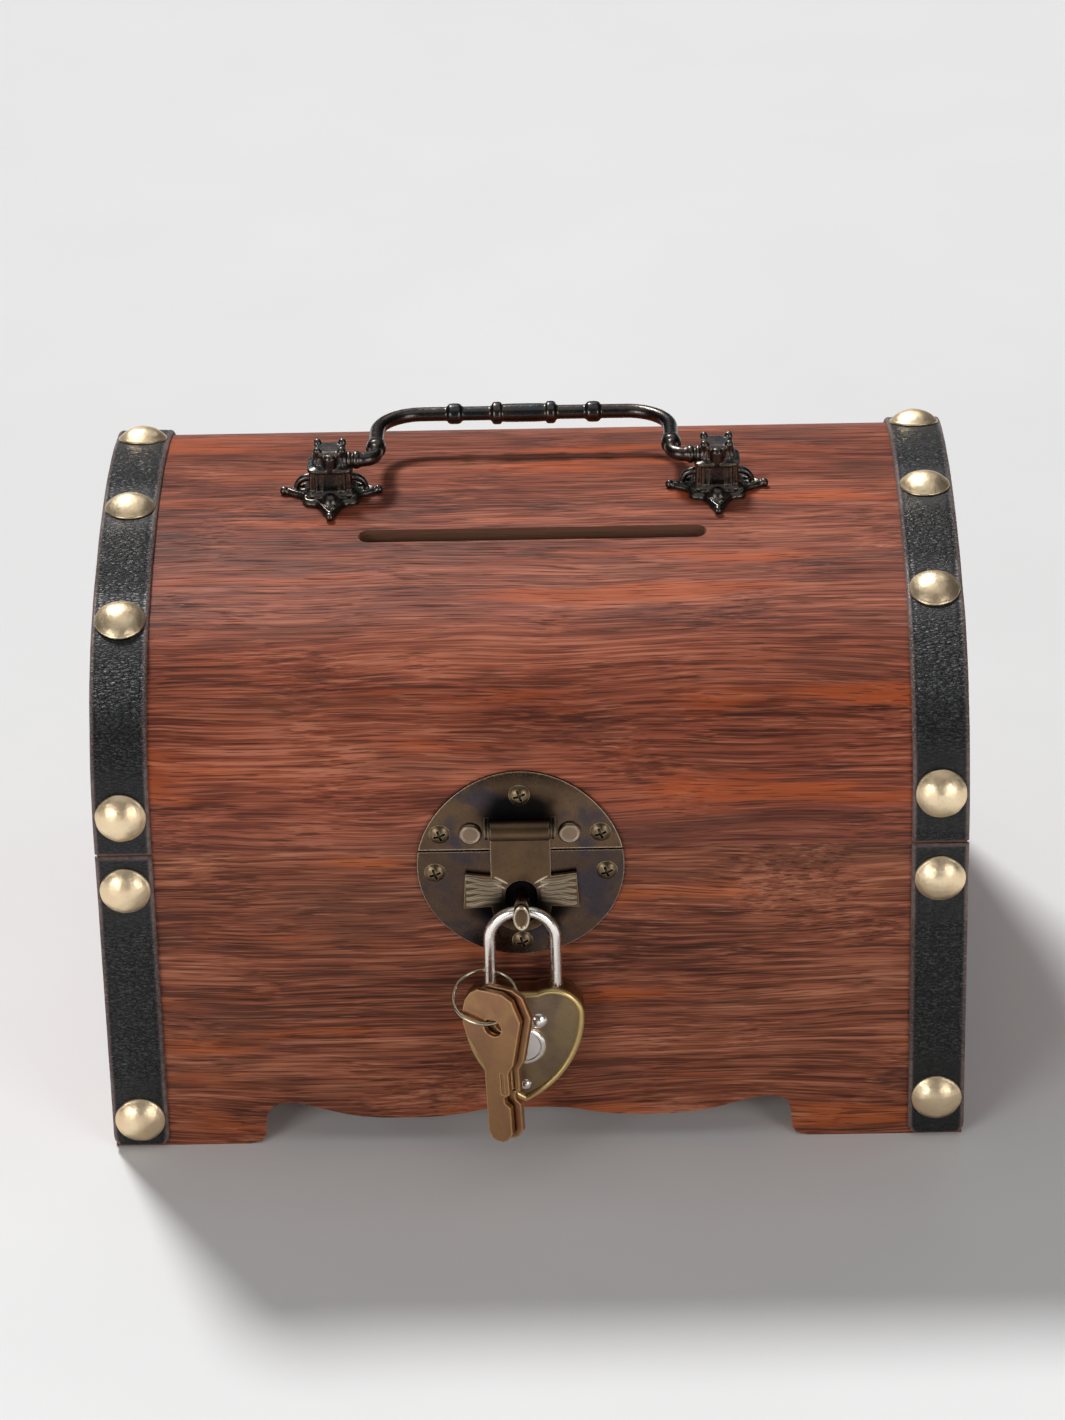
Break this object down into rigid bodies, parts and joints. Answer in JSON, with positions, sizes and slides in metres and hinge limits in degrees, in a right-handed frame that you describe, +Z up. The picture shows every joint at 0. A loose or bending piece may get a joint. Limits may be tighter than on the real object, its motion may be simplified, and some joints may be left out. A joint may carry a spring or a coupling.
{
  "type": "wooden money box",
  "caption": "Domed wooden chest money box with a lid slot, leather straps and studs, carrying handle, round hasp, and a heart padlock with keys on a ring.",
  "frame": {"origin": "centre of the closed box's bounding box in plan, on the plane its feet stand on; the chest's own middle is 7.4 mm behind it, because the padlock and keys hang in front", "axes": "+X to the right seen from the front, +Y from the hasp side to the hinge side, +Z up"},
  "size_m": [0.1868, 0.1627, 0.1343],
  "materials": {
    "wood_panel": "mahogany-stained open grain, semi-matt",
    "wood_lid": "mahogany-stained open grain, semi-matt",
    "wood_end": "mahogany-stained, semi-matt",
    "wood_raw": "unfinished plywood",
    "leather": "fine pebbled black",
    "stud": "pale polished brass, lightly worn",
    "bronze": "antique bronze plating, worn at the edges",
    "bronze_screw": "antique bronze plating",
    "zinc": "dull zinc plating",
    "lock_brass": "antique brass, rubbed bright on the rim",
    "chrome": "polished",
    "ring_steel": "polished spring steel",
    "key_brass": "satin brass"
  },
  "bodies": {
    "base": {"base_front_panel": "wood_panel", "base_back_panel": "wood_panel", "base_left_panel": "wood_end", "base_right_panel": "wood_end", "base_floor": "wood_raw", "base_strap_front_left": "leather", "base_strap_front_right": "leather", "base_strap_back_left": "leather", "base_strap_back_right": "leather", "base_studs": "stud", "hasp_lower_plate": "bronze", "hasp_staple": "bronze_screw", "hasp_lower_screws": "bronze_screw", "hinge_base_leaves": "bronze", "hinge_base_screws": "bronze_screw", "hinge_pins": "zinc"},
    "lid": {"lid_shell": "wood_lid", "lid_left_end": "wood_end", "lid_right_end": "wood_end", "lid_strap_left": "leather", "lid_strap_right": "leather", "lid_studs": "stud", "lug_left": "bronze", "lug_right": "bronze", "lug_screws": "zinc", "lug_washers": "zinc", "hasp_upper_plate": "bronze", "hasp_pin": "bronze_screw", "hasp_rivets": "bronze_screw", "hasp_upper_screws": "bronze_screw", "hinge_lid_leaves": "bronze", "hinge_lid_screws": "bronze_screw"},
    "handle": {"bail": "bronze"},
    "tongue": {"hasp_tongue": "bronze"},
    "shackle": {"lock_shackle": "chrome"},
    "lock": {"lock_case": "lock_brass", "lock_back": "lock_brass", "lock_bezel": "chrome", "lock_rivet": "chrome", "lock_spring": "zinc"},
    "plug": {"lock_plug": "chrome"},
    "bolt": {"lock_bolt": "zinc"},
    "ring": {"key_ring": "ring_steel"},
    "key_a": {"key_front": "key_brass"},
    "key_b": {"key_rear": "key_brass"}
  },
  "joints": [
    {"name": "lid_hinge", "type": "hinge", "parent": "base", "child": "lid", "pos_m": [0, 0.0794, 0.075], "axis": [-1, 0, 0], "range_deg": [0, 110]},
    {"name": "hasp_swing", "type": "hinge", "parent": "lid", "child": "tongue", "pos_m": [-0.0024, -0.06595, 0.0813], "axis": [-1, 0, 0], "range_deg": [0, 150]},
    {"name": "handle_swing", "type": "hinge", "parent": "lid", "child": "handle", "pos_m": [-0.0008, 0.0104, 0.13127], "axis": [1, 0, 0], "range_deg": [0, 175]},
    {"name": "padlock_swing", "type": "hinge", "parent": "base", "child": "shackle", "pos_m": [-0.0024, -0.0672, 0.0621], "axis": [-1, 0, 0], "range_deg": [0, 80]},
    {"name": "padlock_release", "type": "slide", "parent": "shackle", "child": "lock", "axis": [0, 0, -1], "range_m": [0, 0.0065]},
    {"name": "plug_turn", "type": "hinge", "parent": "lock", "child": "plug", "pos_m": [-0.0024, -0.0672, 0.0293], "axis": [0, 1, 0], "range_deg": [0, 90]},
    {"name": "bolt_slide", "type": "slide", "parent": "lock", "child": "bolt", "axis": [-1, 0, 0], "range_m": [0, 0.0032]},
    {"name": "ring_swing", "type": "hinge", "parent": "shackle", "child": "ring", "pos_m": [-0.0106, -0.06515, 0.04593], "axis": [-1, 0, 0], "range_deg": [0, 30]},
    {"name": "key_front_swing", "type": "hinge", "parent": "ring", "child": "key_a", "pos_m": [-0.00766, -0.07725, 0.04054], "axis": [-0.9063, -0.3861, -0.1719], "range_deg": [0, 25]},
    {"name": "key_rear_swing", "type": "hinge", "parent": "ring", "child": "key_b", "pos_m": [-0.00766, -0.07725, 0.04054], "axis": [-0.9063, -0.3861, -0.1719], "range_deg": [0, 25]}
  ],
  "couplings": [
    {"joint": "hasp_swing", "follows": "lid_hinge", "ratio": 1.3636},
    {"joint": "plug_turn", "follows": "padlock_release", "rad_per_m": 241.66},
    {"joint": "bolt_slide", "follows": "padlock_release", "ratio": 0.49231},
    {"joint": "key_rear_swing", "follows": "key_front_swing", "ratio": 1}
  ]
}
